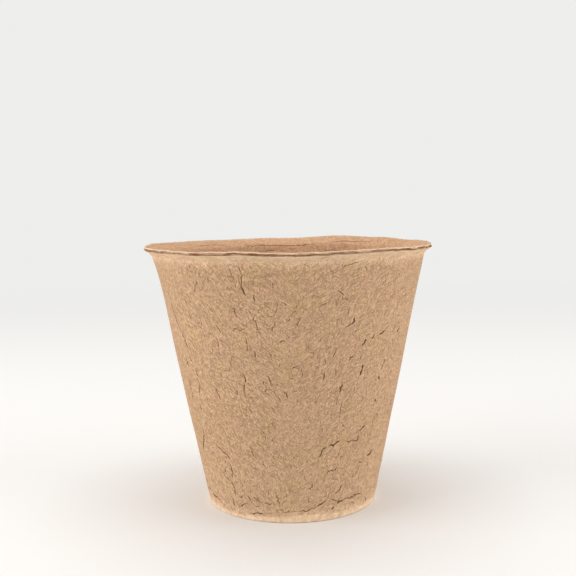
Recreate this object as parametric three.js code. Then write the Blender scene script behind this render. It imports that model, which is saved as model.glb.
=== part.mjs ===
// A round plant pot of moulded pulp: a tapered cup with a flared lip, a rounded heel and a drained floor.
// The pot is one moulding. Its four formed zones are separate solids that meet face to face.
// Units are millimetres, +Z is up, and the origin is at the middle of the underside.
import * as THREE from "three";

// Driving dimensions
const POT_HEIGHT = 72.3; // table to the top of the lip
const MOUTH_DIAMETER = 75; // outside of the wall where the flare starts
const FOOT_DIAMETER = 47.2; // outside of the wall, carried straight down to the table
const WALL_THICKNESS = 1.3; // square to the wall
const FLARE_HEIGHT = 2.8; // start of the flare to the top of the lip
const FLARE_BEND = 0.6; // how far the flare follows the wall before it turns out
const LIP_OVERHANG = 2.5; // lip's edge beyond the wall
const LIP_EDGE = 1; // height of the trimmed edge
const HEEL_RADIUS = 1.2; // outside rounding from the wall to the underside
const CORNER_RADIUS = 2; // inside rounding from the wall to the floor, where pulp gathers
const HEEL_BAND = 0.2; // wall that belongs to the heel, above both roundings
const STANDING_RING = 2; // flat ring of the heel around the floor
const FLOOR_THICKNESS = 1.5;
const DRAIN_DIAMETER = 8;

// Fineness of the facets
const STEPS_AROUND = 96;
const STEPS_PER_ROUND = 6;

// Lines that the zones share
const mouthRadius = MOUTH_DIAMETER / 2;
const footRadius = FOOT_DIAMETER / 2;
const lipRadius = mouthRadius + LIP_OVERHANG;
const flareStart = POT_HEIGHT - FLARE_HEIGHT;
const slope = (mouthRadius - footRadius) / flareStart;
const taper = Math.atan(slope);
const levelThickness = WALL_THICKNESS / Math.cos(taper);

// A rounding that touches a level face and the inside of a line leaning out at the taper angle.
function heelRound(lineRadiusAtTable, level, radius) {
  const centreHeight = level + radius;
  const lineRadius = lineRadiusAtTable + slope * centreHeight;
  const centreRadius = lineRadius - radius / Math.cos(taper);
  const points = [];
  for (let i = 0; i <= STEPS_PER_ROUND; i++) {
    const angle = -Math.PI / 2 + (i / STEPS_PER_ROUND) * (Math.PI / 2 - taper);
    const r = centreRadius + radius * Math.cos(angle);
    const z = centreHeight + radius * Math.sin(angle);
    points.push(new THREE.Vector2(r, z));
  }
  return points;
}

const outerHeel = heelRound(footRadius, 0, HEEL_RADIUS);
const innerHeel = heelRound(footRadius - levelThickness, FLOOR_THICKNESS, CORNER_RADIUS);
const heelTop = Math.max(outerHeel.at(-1).y, innerHeel.at(-1).y) + HEEL_BAND;
const floorRadius = Math.min(outerHeel[0].x, innerHeel[0].x) - STANDING_RING;

// Outside radius of the tapered wall at a height.
function wallRadius(z) {
  return footRadius + slope * z;
}

// Turns a closed profile, given as (radius, height) and running anticlockwise, about the pot's axis.
function turned(name, profile, material) {
  const closed = [...profile, profile[0]];
  const geometry = new THREE.LatheGeometry(closed, STEPS_AROUND);
  geometry.rotateX(Math.PI / 2);
  const mesh = new THREE.Mesh(geometry, material);
  mesh.name = name;
  return mesh;
}

function pulp(colour, roughness) {
  return new THREE.MeshStandardMaterial({ color: colour, roughness, metalness: 0 });
}

// Flat disc that closes the bottom, with a drain hole at its middle.
function floorDisc() {
  const drainRadius = DRAIN_DIAMETER / 2;
  const profile = [
    new THREE.Vector2(drainRadius, 0),
    new THREE.Vector2(floorRadius, 0),
    new THREE.Vector2(floorRadius, FLOOR_THICKNESS),
    new THREE.Vector2(drainRadius, FLOOR_THICKNESS),
  ];
  return turned("floor_disc", profile, pulp(0xb8926e, 0.95));
}

// Rounded corner that the pot stands on, from the edge of the floor up to the foot of the wall.
function heelRing() {
  const wallFoot = wallRadius(heelTop);
  const profile = [
    new THREE.Vector2(floorRadius, 0),
    ...outerHeel,
    new THREE.Vector2(wallFoot, heelTop),
    new THREE.Vector2(wallFoot - levelThickness, heelTop),
    ...innerHeel.slice().reverse(),
    new THREE.Vector2(floorRadius, FLOOR_THICKNESS),
  ];
  return turned("heel_ring", profile, pulp(0xd6b48f, 0.92));
}

// Tapered side of the pot.
function sideWall() {
  const wallFoot = wallRadius(heelTop);
  const profile = [
    new THREE.Vector2(wallFoot, heelTop),
    new THREE.Vector2(mouthRadius, flareStart),
    new THREE.Vector2(mouthRadius - levelThickness, flareStart),
    new THREE.Vector2(wallFoot - levelThickness, heelTop),
  ];
  return turned("side_wall", profile, pulp(0xc29b75, 0.95));
}

// Top of the pot, which turns out from the wall into a thin lip with a trimmed, upright edge.
function flaredRim() {
  const edgeFoot = POT_HEIGHT - LIP_EDGE;
  const innerMouth = mouthRadius - levelThickness;
  const innerBend = FLARE_BEND + LIP_EDGE;
  const underside = new THREE.QuadraticBezierCurve(
    new THREE.Vector2(mouthRadius, flareStart),
    new THREE.Vector2(mouthRadius + slope * FLARE_BEND, flareStart + FLARE_BEND),
    new THREE.Vector2(lipRadius, edgeFoot),
  );
  const topside = new THREE.QuadraticBezierCurve(
    new THREE.Vector2(lipRadius, POT_HEIGHT),
    new THREE.Vector2(innerMouth + slope * innerBend, flareStart + innerBend),
    new THREE.Vector2(innerMouth, flareStart),
  );
  const profile = [...underside.getPoints(STEPS_PER_ROUND), ...topside.getPoints(STEPS_PER_ROUND)];
  return turned("flared_rim", profile, pulp(0xc9a27e, 0.93));
}

const pot = new THREE.Group();
pot.name = "pulp_pot";
pot.add(floorDisc(), heelRing(), sideWall(), flaredRim());

export default pot;
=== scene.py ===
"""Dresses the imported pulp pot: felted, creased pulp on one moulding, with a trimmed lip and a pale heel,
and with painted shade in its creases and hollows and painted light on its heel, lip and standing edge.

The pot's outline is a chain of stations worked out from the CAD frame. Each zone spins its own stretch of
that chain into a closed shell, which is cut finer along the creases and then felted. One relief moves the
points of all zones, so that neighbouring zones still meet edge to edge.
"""

import logging
import math
import random
from collections.abc import Callable, Iterable, Sequence
from dataclasses import dataclass, field
from enum import Enum

import bpy
import numpy as np
from mathutils import Matrix, Vector, noise
from mathutils.kdtree import KDTree


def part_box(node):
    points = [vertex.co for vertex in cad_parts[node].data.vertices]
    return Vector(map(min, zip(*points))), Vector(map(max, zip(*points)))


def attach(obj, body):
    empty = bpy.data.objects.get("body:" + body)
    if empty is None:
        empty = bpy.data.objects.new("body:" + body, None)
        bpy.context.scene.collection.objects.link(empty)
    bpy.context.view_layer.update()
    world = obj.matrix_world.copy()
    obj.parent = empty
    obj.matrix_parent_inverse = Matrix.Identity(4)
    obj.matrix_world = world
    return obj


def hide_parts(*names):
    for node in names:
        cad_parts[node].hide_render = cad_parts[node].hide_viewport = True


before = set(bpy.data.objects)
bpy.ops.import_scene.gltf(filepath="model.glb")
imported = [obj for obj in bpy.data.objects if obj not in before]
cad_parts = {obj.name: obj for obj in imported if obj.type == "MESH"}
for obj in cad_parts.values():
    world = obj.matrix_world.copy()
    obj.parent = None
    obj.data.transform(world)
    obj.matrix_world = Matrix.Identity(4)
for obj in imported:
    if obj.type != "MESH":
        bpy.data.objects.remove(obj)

LOG = logging.getLogger("pulp_pot")
MM = 0.001
SEED = 8629

# The felt's strokes fan out to both sides of the front's middle, and go round by the lean for each step down
MID_RADIUS = 30.0 * MM
FAN_BLEND = 8.0 * MM
FAN_LEAN = 0.6

# Stations closer than this, in metres, are at the same place
SAME_PLACE = 1e-7

# A spot is a radius and a height, and a fade is two distances between which something comes in or goes out
Pixel = tuple[float, float]
Spot = tuple[float, float]
Fade = tuple[float, float]
Triple = tuple[float, float, float]
Colour = tuple[int, int, int]
Socket = bpy.types.NodeSocket

# A ripple is a list of waves round the pot, each as its height in metres and its pace
Ripple = tuple[tuple[float, float], ...]


class Zone(Enum):
    """A formed zone of the moulding, by the name of the CAD node that it stands for."""

    FLOOR = "floor_disc"
    HEEL = "heel_ring"
    WALL = "side_wall"
    RIM = "flared_rim"


class Side(Enum):
    """The face of the shell that a point lies on."""

    OUTSIDE = "outside"
    INSIDE = "inside"


def smooth_share(low: float, high: float, value: float) -> float:
    """Eases from 0 at low to 1 at high.

    Args:
        low: Value at which the share is 0.
        high: Value at which the share is 1.
        value: Value to place between them.

    Returns:
        The share, from 0 to 1.
    """
    share = min(1.0, max(0.0, (value - low) / (high - low)))
    return share * share * (3.0 - 2.0 * share)


def faded_in(start: float, fade: Fade, value: float) -> float:
    """Share of a fade, measured from a start, that a value has passed, from 0 to 1."""
    return smooth_share(start + fade[0], start + fade[1], value)


def on_wall(around: float, radius: float, height: float) -> Vector:
    """Point of a surface of revolution, at an angle from the front towards the right, in radians."""
    return Vector((radius * math.sin(around), -radius * math.cos(around), height))


def around_of(point: Vector) -> float:
    """Angle of a point from the front, towards the right, in radians."""
    return math.atan2(point.x, -point.y)


def turn_between(a: float, b: float) -> float:
    """Smallest turn between two angles, in radians."""
    return abs((a - b + math.pi) % (2.0 * math.pi) - math.pi)


def rippled(around: float, ripple: Ripple) -> float:
    """Height of a ripple at an angle from the front, in metres."""
    way = Vector((math.cos(around), math.sin(around), 0.0))
    return sum(height * noise.noise(way * pace) for height, pace in ripple)


# Camera and outline


@dataclass(frozen=True)
class PhotoCamera:
    """The photograph's viewpoint, found from the pot's outline in the picture.

    Attributes:
        picture: Width and height of the picture, in pixels.
        focal: Focal length, in pixels.
        place: Where the camera stands, in metres.
        pitch: How far the camera looks down, in radians.
        roll: How far the camera leans to the right, in radians.
        sensor: Width of the camera's sensor, in millimetres.
        reach: Least and greatest distance at which a sight line is searched, in metres.
        searched: How many places of a sight line are searched.
        clip: Nearest that the camera sees, in metres.
    """

    picture: float = 576.0
    focal: float = 900.0
    place: Triple = (-0.36 * MM, -252.67 * MM, 85.04 * MM)
    pitch: float = math.radians(5.708)
    roll: float = math.radians(0.872)
    sensor: float = 36.0
    reach: tuple[float, float] = (0.15, 0.35)
    searched: int = 4001
    clip: float = 10.0 * MM

    def axes(self) -> tuple[Vector, Vector, Vector]:
        """Finds how the camera is turned.

        Returns:
            The directions in which its right, up and forward point.
        """
        ahead = Vector((0.0, math.cos(self.pitch), -math.sin(self.pitch)))
        level_up = Vector((0.0, math.sin(self.pitch), math.cos(self.pitch)))
        level_right = Vector((1.0, 0.0, 0.0))
        right = level_right * math.cos(self.roll) - level_up * math.sin(self.roll)
        up = level_up * math.cos(self.roll) + level_right * math.sin(self.roll)
        return right, up, ahead

    def sight_line(self, pixel: Pixel) -> Vector:
        """Finds the direction in which a pixel looks.

        Args:
            pixel: Place in the picture.

        Returns:
            The direction, as a vector of length 1.
        """
        right, up, ahead = self.axes()
        half = self.picture / 2.0
        across = (pixel[0] - half) / self.focal
        above = (half - pixel[1]) / self.focal
        return (ahead + right * across + up * above).normalized()

    def meet(self, pixel: Pixel, radius_at: Callable[[np.ndarray], np.ndarray], far: bool = False) -> Vector:
        """Finds where a pixel's sight line meets a surface of revolution.

        Args:
            pixel: Place in the picture.
            radius_at: Radius of the surface for an array of heights.
            far: True for the last crossing, on the far side of the pot.

        Returns:
            The point where they meet.
        """
        reach = np.linspace(*self.reach, self.searched)
        points = np.array(self.place) + reach[:, None] * np.array(self.sight_line(pixel))
        gap = np.hypot(points[:, 0], points[:, 1]) - radius_at(points[:, 2])
        crossings = np.nonzero(np.sign(gap[:-1]) != np.sign(gap[1:]))[0]
        if len(crossings) == 0:
            return Vector(points[np.argmin(np.abs(gap))])
        return Vector(points[crossings[-1 if far else 0]])

    def add(self) -> None:
        """Adds the camera to the scene and looks through it."""
        right, up, ahead = self.axes()
        bpy.ops.object.camera_add(location=self.place)
        camera = bpy.context.object
        camera.name = "photo_camera"
        camera.rotation_mode = "QUATERNION"
        camera.rotation_quaternion = Matrix((right, up, -ahead)).transposed().to_quaternion()
        camera.data.sensor_width = self.sensor
        camera.data.lens = self.focal / self.picture * self.sensor
        camera.data.clip_start = self.clip
        bpy.context.scene.camera = camera


@dataclass
class Station:
    """One point of the pot's outline.

    Attributes:
        radius: Distance from the pot's axis, in metres.
        height: Height above the table, in metres.
        side: Face of the shell that it lies on.
        out: How far its face looks outwards.
        up: How far its face looks up.
    """

    radius: float
    height: float
    side: Side
    out: float = 0.0
    up: float = 0.0

    def is_at(self, other: "Station") -> bool:
        """Tells whether two stations are at the same place."""
        return math.hypot(self.radius - other.radius, self.height - other.height) < SAME_PLACE


@dataclass
class PotOutline:
    """The bare pot's outline, from the drain hole over the lip and back, in metres.

    Attributes:
        wall_thickness: Thickness square to the wall.
        heel_radius: Outside rounding from the wall to the underside.
        corner_radius: Inside rounding from the wall to the floor.
        flare_bend: How far the flare follows the wall before it turns out.
        lip_edge: Height of the trimmed edge.
        lip_round: Rounding of the trimmed edge's corners.
        drain_radius: Radius of the drain hole.
        wall_step: Spacing of the stations up the outside of the wall.
        inner_step: Spacing of the stations low on the inside.
        floor_step: Spacing of the stations across the floor.
        fine_step: Spacing of the stations on the lip and on the heel.
        corner_steps: Least steps of a rounding, and the steps that the lip's corners add.
        seen_depth: How far down the inside has stations as close as the outside.
        chains: The stations of each zone's outside and inside.
    """

    wall_thickness: float = 1.3 * MM
    heel_radius: float = 0.5 * MM
    corner_radius: float = 2.0 * MM
    flare_bend: float = 0.6 * MM
    lip_edge: float = 1.0 * MM
    lip_round: float = 0.25 * MM
    drain_radius: float = 4.0 * MM
    wall_step: float = 0.6 * MM
    inner_step: float = 3.0 * MM
    floor_step: float = 0.8 * MM
    fine_step: float = 0.25 * MM
    corner_steps: int = 4
    seen_depth: float = 8.0 * MM
    chains: dict[tuple[Zone, Side], list[Station]] = field(default_factory=dict)

    def __post_init__(self) -> None:
        """Reads the zones' sizes from the frame and lays the stations."""
        rim_low, rim_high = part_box(Zone.RIM.value)
        heel_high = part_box(Zone.HEEL.value)[1]
        floor_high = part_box(Zone.FLOOR.value)[1]
        self.height, self.lip_radius = rim_high.z, rim_high.x
        self.flare_start, self.mouth_radius = rim_low.z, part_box(Zone.WALL.value)[1].x
        self.heel_top, self.wall_foot = heel_high.z, heel_high.x
        self.floor_top, self.floor_radius = floor_high.z, floor_high.x
        self.slope = (self.mouth_radius - self.wall_foot) / (self.flare_start - self.heel_top)
        self.taper = math.atan(self.slope)
        self.level_thickness = self.wall_thickness / math.cos(self.taper)
        self._lay()

    def wall_radius(self, height: float) -> float:
        """Outside radius of the wall at a height."""
        return self.wall_foot + self.slope * (height - self.heel_top)

    def outside_radius(self, heights: np.ndarray) -> np.ndarray:
        """Outside radius of the heel, the wall and the flare for an array of heights."""
        return self._radius_on(Side.OUTSIDE, (Zone.HEEL, Zone.WALL, Zone.RIM), heights)

    def inside_radius(self, heights: np.ndarray) -> np.ndarray:
        """Inside radius of the wall and the flare for an array of heights."""
        return self._radius_on(Side.INSIDE, (Zone.WALL, Zone.RIM), heights)

    def stretch(self, zone: Zone) -> list[Station]:
        """Finds the closed loop of stations that bounds a zone.

        Args:
            zone: The zone.

        Returns:
            The stations, from its outside to its inside.
        """
        loop = list(self.chains[zone, Side.OUTSIDE])
        for station in self.chains[zone, Side.INSIDE]:
            if not station.is_at(loop[-1]):
                loop.append(station)
        return loop

    def _radius_on(self, side: Side, zones: Sequence[Zone], heights: np.ndarray) -> np.ndarray:
        """Finds the radius of one face of the shell.

        Args:
            side: The face.
            zones: Zones that it is read from.
            heights: Heights to read at.

        Returns:
            The radius at each height.
        """
        stations = [s for zone in zones for s in self.chains[zone, side]]
        stations.sort(key=lambda s: s.height)
        known = np.array([(s.height, s.radius) for s in stations])
        return np.interp(heights, known[:, 0], known[:, 1])

    def _heel_round(self, line_foot: float, level: float, radius: float) -> list[Spot]:
        """Rounds the corner between a level face and the tapered line.

        Args:
            line_foot: Radius of the tapered line, carried down to the table.
            level: Height of the level face.
            radius: Radius of the rounding.

        Returns:
            Points from the level face up to the line.
        """
        centre_height = level + radius
        centre = line_foot + self.slope * centre_height - radius / math.cos(self.taper)
        sweep = math.pi / 2.0 - self.taper
        count = max(self.corner_steps, round(radius * sweep / self.fine_step))
        angles = [-math.pi / 2.0 + sweep * i / count for i in range(count + 1)]
        return [(centre + radius * math.cos(a), centre_height + radius * math.sin(a)) for a in angles]

    def _lip_edge(self) -> list[Spot]:
        """Lays the trimmed edge, with rounded corners.

        Returns:
            Points from its foot to its top.
        """
        count = round(2.0 * self.lip_edge / self.fine_step) + self.corner_steps
        half = self.lip_edge / 2.0
        points = []
        for i in range(count + 1):
            from_middle = 2.0 * i / count - 1.0
            corner = half * abs(from_middle) - (half - self.lip_round)
            inset = self.lip_round - math.sqrt(self.lip_round**2 - max(0.0, corner) ** 2)
            points.append((self.lip_radius - inset, self.height - half * (1.0 - from_middle)))
        return points

    def _lay(self) -> None:
        """Lays the stations of each zone and finds the way that each one looks."""
        foot = self.mouth_radius - self.slope * self.flare_start
        inner_foot = foot - self.level_thickness
        inner_mouth = self.mouth_radius - self.level_thickness
        outer_heel = self._heel_round(foot, 0.0, self.heel_radius)
        inner_heel = self._heel_round(inner_foot, self.floor_top, self.corner_radius)
        edge = self._lip_edge()
        inner_bend = self.flare_bend + self.lip_edge
        wall = [(self.wall_radius(h), h) for h in _steps(self.heel_top, self.flare_start, self.wall_step)]
        seen_foot = self.flare_start - self.seen_depth
        inner_heights = _steps(self.flare_start, seen_foot, self.wall_step)
        inner_heights += _steps(seen_foot, self.heel_top, self.inner_step)[1:]
        inner_wall = [(self.wall_radius(h) - self.level_thickness, h) for h in inner_heights]
        under_flare = _bend(
            (self.mouth_radius, self.flare_start),
            (self.mouth_radius + self.slope * self.flare_bend, self.flare_start + self.flare_bend),
            edge[0],
            self.fine_step,
        )
        over_flare = _bend(
            edge[-1],
            (inner_mouth + self.slope * inner_bend, self.flare_start + inner_bend),
            (inner_mouth, self.flare_start),
            self.fine_step,
        )
        drain = _line((self.drain_radius, self.floor_top), (self.drain_radius, 0.0), self.fine_step)
        floor_edge = (self.floor_radius, 0.0)
        floor_edge_top = (self.floor_radius, self.floor_top)
        runs = (
            (Zone.FLOOR, Side.OUTSIDE, _line(drain[-1], floor_edge, self.floor_step)),
            (Zone.HEEL, Side.OUTSIDE, _line(floor_edge, outer_heel[0], self.fine_step) + outer_heel[1:]
             + _line(outer_heel[-1], wall[0], self.fine_step)[1:]),
            (Zone.WALL, Side.OUTSIDE, wall),
            (Zone.RIM, Side.OUTSIDE, under_flare + edge[1:]),
            (Zone.RIM, Side.INSIDE, over_flare),
            (Zone.WALL, Side.INSIDE, inner_wall),
            (Zone.HEEL, Side.INSIDE, _line(inner_wall[-1], inner_heel[-1], self.fine_step)
             + inner_heel[-2::-1] + _line(inner_heel[0], floor_edge_top, self.fine_step)[1:]),
            (Zone.FLOOR, Side.INSIDE, _line(floor_edge_top, drain[0], self.floor_step) + drain[1:-1]),
        )
        for zone, side, points in runs:
            self.chains[zone, side] = [Station(radius, height, side) for radius, height in points]
        self._face([s for zone, side, _ in runs for s in self.chains[zone, side]])

    @staticmethod
    def _face(ring: list[Station]) -> None:
        """Sets the way that each station looks, away from the pulp.

        Args:
            ring: The stations of the whole outline.
        """
        for i, station in enumerate(ring):
            before, after = _other(ring, i, -1), _other(ring, i, 1)
            along = Vector((after.radius - before.radius, after.height - before.height)).normalized()
            station.out, station.up = along.y, -along.x


def _other(ring: list[Station], index: int, step: int) -> Station:
    """Finds the next station of a closed outline that isn't at the same place.

    Args:
        ring: The stations of the outline.
        index: Where to start.
        step: 1 to look forwards, or -1 to look back.

    Returns:
        The station.
    """
    count = step
    while ring[(index + count) % len(ring)].is_at(ring[index]):
        count += step
    return ring[(index + count) % len(ring)]


def _steps(start: float, end: float, step: float) -> list[float]:
    """Even steps from start to end, of about the given size."""
    count = max(1, round(abs(end - start) / step))
    return [start + (end - start) * i / count for i in range(count + 1)]


def _line(start: Spot, end: Spot, step: float) -> list[Spot]:
    """Points on a straight line, spaced by about step."""
    shares = _steps(0.0, 1.0, step / max(math.dist(start, end), step))
    return [(start[0] + (end[0] - start[0]) * s, start[1] + (end[1] - start[1]) * s) for s in shares]


def _bend(start: Spot, pull: Spot, end: Spot, step: float) -> list[Spot]:
    """Lays points on a quadratic curve.

    Args:
        start: First point.
        pull: Point that the curve bends towards.
        end: Last point.
        step: Spacing of the points, about.

    Returns:
        The points, with both ends.
    """
    length = math.dist(start, pull) + math.dist(pull, end)
    points = []
    for t in _steps(0.0, 1.0, step / length):
        a, b, c = (1.0 - t) ** 2, 2.0 * t * (1.0 - t), t * t
        points.append((a * start[0] + b * pull[0] + c * end[0], a * start[1] + b * pull[1] + c * end[1]))
    return points


# Creases


class Strength(Enum):
    """How strong a crease is, as half of its width and its depth at the middle, in metres."""

    FAINT = (0.09 * MM, 0.21 * MM)
    PLAIN = (0.1 * MM, 0.29 * MM)
    DEEP = (0.115 * MM, 0.42 * MM)
    DEEPEST = (0.155 * MM, 0.5 * MM)


# Creases seen on the outside in the photograph, each as the pixels that it runs through
MARKED_CREASES: dict[Strength, tuple[tuple[Pixel, ...], ...]] = {
    Strength.FAINT: (
        # Upper left
        ((195, 270.5), (196, 275)),
        ((195.5, 277), (196.8, 281.5), (195, 285.5), (195.2, 294.5)),
        ((208, 276), (207.7, 283)),
        ((236.3, 281), (235.5, 287.5)),
        ((227, 287), (230.5, 291)),
        ((200.4, 320.9), (201.8, 325)),
        ((249.5, 311.5), (251.5, 315.5)),
        ((232, 331), (236, 328.8), (241, 330.8), (245.5, 328.5)),
        ((242, 322), (244.5, 325.5)),
        ((189, 313.5), (191, 319.5)),
        ((183.5, 298.5), (187, 303.5)),
        ((257.5, 329.5), (261.5, 328)),
        # Along the left edge, between stronger ones
        ((171.6, 304.5), (174, 313), (176.1, 320.3)),
        ((178.9, 326.3), (182, 333), (184.4, 339.1)),
        # Upper middle
        ((301.5, 317.5), (298.5, 322.5), (295.3, 328)),
        ((272.5, 283), (273.2, 288.5)),
        ((279, 300.5), (277, 307), (275, 315), (273.5, 316.3), (268, 317)),
        ((275.5, 322.5), (273.5, 327.5), (271, 331)),
        ((293, 312.5), (297, 312)),
        ((288, 316.5), (292, 316)),
        ((321, 305.5), (324, 304.5), (327, 302.5)),
        ((336.3, 299.5), (336.3, 306)),
        ((331, 268.5), (333.5, 275)),
        ((304, 263.5), (310, 268.5)),
        ((338, 319), (337, 327.5)),
        # Upper right
        ((341.8, 296), (342.5, 299.5), (346, 298.5), (349, 299.5)),
        ((341.7, 305), (342.5, 311.5)),
        ((349.5, 309), (348.3, 314.8)),
        ((345.6, 266.6), (350.5, 264.5), (360.3, 262.3)),
        ((365.5, 266.5), (367.3, 271.5)),
        ((386.5, 279.5), (384.5, 283.5)),
        # Middle left
        ((177.5, 346.1), (179.6, 350.4)),
        ((245, 337.5), (246.8, 344), (246.8, 352)),
        ((215.5, 337.5), (218.3, 343), (218.3, 347.5)),
        ((230, 361), (231, 366.5)),
        ((223.5, 371.5), (226, 370)),
        ((228, 371.5), (229.5, 368)),
        ((239.5, 407), (242, 412.5)),
        ((250.5, 397.5), (253.5, 399.5)),
        ((209.5, 412), (212.5, 419)),
        # Middle
        ((263, 347), (268, 351.5), (271, 357)),
        ((289.5, 349.5), (290, 352.5)),
        ((311, 352.5), (313.5, 353), (313.8, 355.5)),
        ((301.5, 369), (302, 377)),
        ((325, 359), (325.5, 363)),
        ((335.8, 369.5), (336, 375.5)),
        ((340, 361), (339, 365.5)),
        ((293.8, 391.5), (297, 391)),
        ((278, 397), (280.5, 401)),
        ((290.5, 378), (292.5, 379.5)),
        ((271, 407), (275, 411)),
        ((314.5, 403), (316.8, 401)),
        ((263.3, 431.5), (265.6, 440.5)),
        ((269.5, 424.5), (272, 423.5), (276, 429.5)),
        ((263, 462), (265, 466)),
        # Right
        ((337.5, 398), (337.1, 405)),
        ((341.7, 401.5), (340.5, 410), (339.6, 418.4)),
        ((341.5, 423), (345, 428)),
        ((374.2, 417), (372.5, 424)),
        # Lower right
        ((368.1, 461.2), (367.7, 465.8)),
        ((358.9, 466.6), (357, 472.7)),
        ((353.6, 473.5), (351.3, 478.8)),
        ((312.2, 483), (311.2, 490)),
        ((351.5, 502), (354, 503.5)),
        ((323.5, 497.5), (326.5, 495.5)),
        ((308.4, 498.7), (310, 502.8)),
        # Lower left
        ((224.8, 459), (225.5, 463.5)),
        ((231, 507), (233, 511)),
        ((239.5, 497), (243.5, 496.5)),
        ((255, 506.5), (259, 505.5)),
        # Top of the heel
        ((266, 512.8), (272, 514)),
        ((298, 511.8), (290, 512.6), (281.5, 513)),
    ),
    Strength.PLAIN: (
        # Upper left
        ((229.5, 270.5), (231.5, 274.5), (234, 279)),
        ((239, 268.5), (241, 272.5), (241.5, 280), (241, 287)),
        ((253, 294.5), (254, 298.5), (255, 303.5)),
        ((231.5, 307.5), (234, 308.5), (235, 313), (237.2, 318)),
        ((253.5, 317.5), (256, 323), (258, 329)),
        ((216, 326), (218.5, 329), (220.4, 332.8)),
        ((209.2, 308.5), (213.5, 312.5)),
        ((176.1, 320.3), (178.9, 326.3)),
        # Upper middle
        ((282, 302.5), (284.5, 303.5), (286.8, 305.5)),
        ((321, 258.6), (327, 257.4)),
        # Upper right
        ((338.5, 290.5), (343.8, 294.5)),
        ((374.8, 333.8), (371.9, 338.8)),
        ((399.7, 326.5), (397.2, 331.4)),
        # Middle left
        ((189.2, 357), (192.5, 362.5)),
        ((186.5, 358.5), (188.3, 365.5)),
        ((197.5, 378.5), (200, 385.5), (200, 394)),
        ((191.6, 391), (193, 398)),
        ((244.8, 384.5), (244.2, 392), (245.8, 399)),
        ((249.8, 408.5), (252.3, 413.8)),
        ((215.5, 388), (218, 394), (221, 399.5)),
        ((254.5, 351.5), (255.7, 358)),
        ((237, 390.5), (238.3, 395)),
        # Middle
        ((280.5, 342), (282.5, 340.7), (285.5, 341.7)),
        ((292.5, 369), (297.5, 366)),
        ((336, 348.5), (335, 353), (332.5, 358)),
        ((315.5, 367), (317.8, 367)),
        ((324.3, 373), (323.5, 380)),
        ((267.5, 375), (269.5, 381), (271.5, 386)),
        ((262.8, 381.5), (263.5, 384.5)),
        ((264.8, 392), (266, 389.5), (269.5, 390.5)),
        ((276.5, 384.5), (278.5, 385.5)),
        ((283.5, 391.5), (286.7, 393.5), (288.3, 398.5)),
        ((251.5, 450.5), (253.5, 455.5), (256.5, 458.5)),
        # Right
        ((353.7, 355.4), (348.7, 361.2)),
        ((362, 355.4), (359.7, 360.3)),
        ((384.7, 359.5), (382.5, 365.5), (380.8, 370)),
        ((376.3, 413.5), (377.2, 416)),
        ((391.5, 399.5), (390, 405)),
        ((388.5, 409), (387, 415)),
        # Lower right
        ((358.5, 432.9), (357.8, 439.8), (356.6, 441.3), (352.8, 440.2), (349, 442.5), (346, 441.7)),
        ((323.3, 449), (321.8, 452), (320.3, 456.2), (318.4, 457.8)),
        ((361.9, 462.6), (359.2, 461.9)),
        ((336.7, 467.5), (334.8, 470.4), (328.3, 471.2), (326, 474.8)),
        ((341.7, 485), (340.2, 488.8), (338.3, 491.4), (335.2, 493.5)),
        ((366.2, 497.5), (365, 500.4)),
        # Lower left
        ((202.2, 427.5), (203.8, 433.7), (203.8, 439.8), (203.4, 450.5)),
        ((201.3, 452.5), (203.5, 458.5)),
        ((229.2, 463.5), (231.5, 468), (232.8, 473), (233, 477.5)),
        ((224.9, 466.5), (224.9, 472)),
        ((232, 482.5), (233.8, 487), (235.7, 494.5)),
        ((217.9, 498), (222, 502.5)),
        ((208, 485.5), (211, 489.5)),
        ((232.2, 498.5), (234, 503), (235.3, 506)),
        ((240.7, 506.7), (243.2, 504.7), (247.7, 503.2)),
        ((253, 497.5), (257, 499.5), (261.5, 502.5)),
        ((265.5, 503.5), (268.7, 504.7), (272, 503.7)),
        ((276.7, 496), (278.5, 502), (280, 505)),
        # Top of the heel
        ((361.2, 493), (355.1, 494.9), (350.5, 498.3), (345.9, 498.3), (342.5, 500.6)),
        ((337.5, 501), (331.4, 499.1)),
        ((317.5, 507), (311.5, 509), (306.9, 511.5), (299.5, 511.7)),
        ((280.2, 509.7), (284.2, 511.2)),
    ),
    Strength.DEEP: (
        ((241, 287), (243.5, 291.5), (245.7, 295)),
        ((169.8, 296.7), (171.6, 304.5)),
        ((354.3, 317.5), (354.3, 321.4), (346, 327.4)),
        ((343.7, 267.3), (345.5, 265.7)),
        ((385.2, 330.5), (382.5, 333), (379.7, 333.8)),
        ((367, 340), (364.5, 341.7), (362, 346)),
        ((184.4, 339.1), (186.5, 344), (187.5, 347.2)),
        ((195.5, 370), (198.2, 375.6)),
        ((189.2, 381.5), (191.2, 389.5)),
        ((200.3, 405.5), (201.5, 410)),
        ((243.8, 375), (245.3, 379.5), (245.2, 382.5)),
        ((342, 384.5), (340, 392.3)),
        ((378.8, 376.8), (379.5, 379)),
        ((375.3, 398.7), (375.3, 401.5)),
        ((365, 425.2), (358.9, 431.5)),
        ((339.7, 441.3), (336.3, 442.8), (332.9, 445.9), (329.5, 445.3)),
        ((326, 447.2), (323.3, 449)),
        ((371.8, 450.3), (369.5, 454.3), (367, 455.3)),
        ((216.5, 445.1), (221.6, 450.3), (226.5, 454.3), (230, 459.2)),
        ((226, 477), (228.5, 479.3), (230, 481)),
        ((213.2, 493.8), (217.5, 497.8)),
        ((247.3, 495.8), (249.3, 498.3), (250.6, 500.2)),
        ((252, 513.4), (256.6, 513.2), (263.5, 514.4)),
        ((342.5, 500.6), (339, 501.4), (337.5, 503.7)),
        ((325.7, 500.8), (321.5, 504.3), (317.5, 507)),
        ((334, 507), (331.5, 509.2)),
    ),
    Strength.DEEPEST: (((362.8, 365.4), (362, 369.5), (360, 374.8)),),
}

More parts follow.
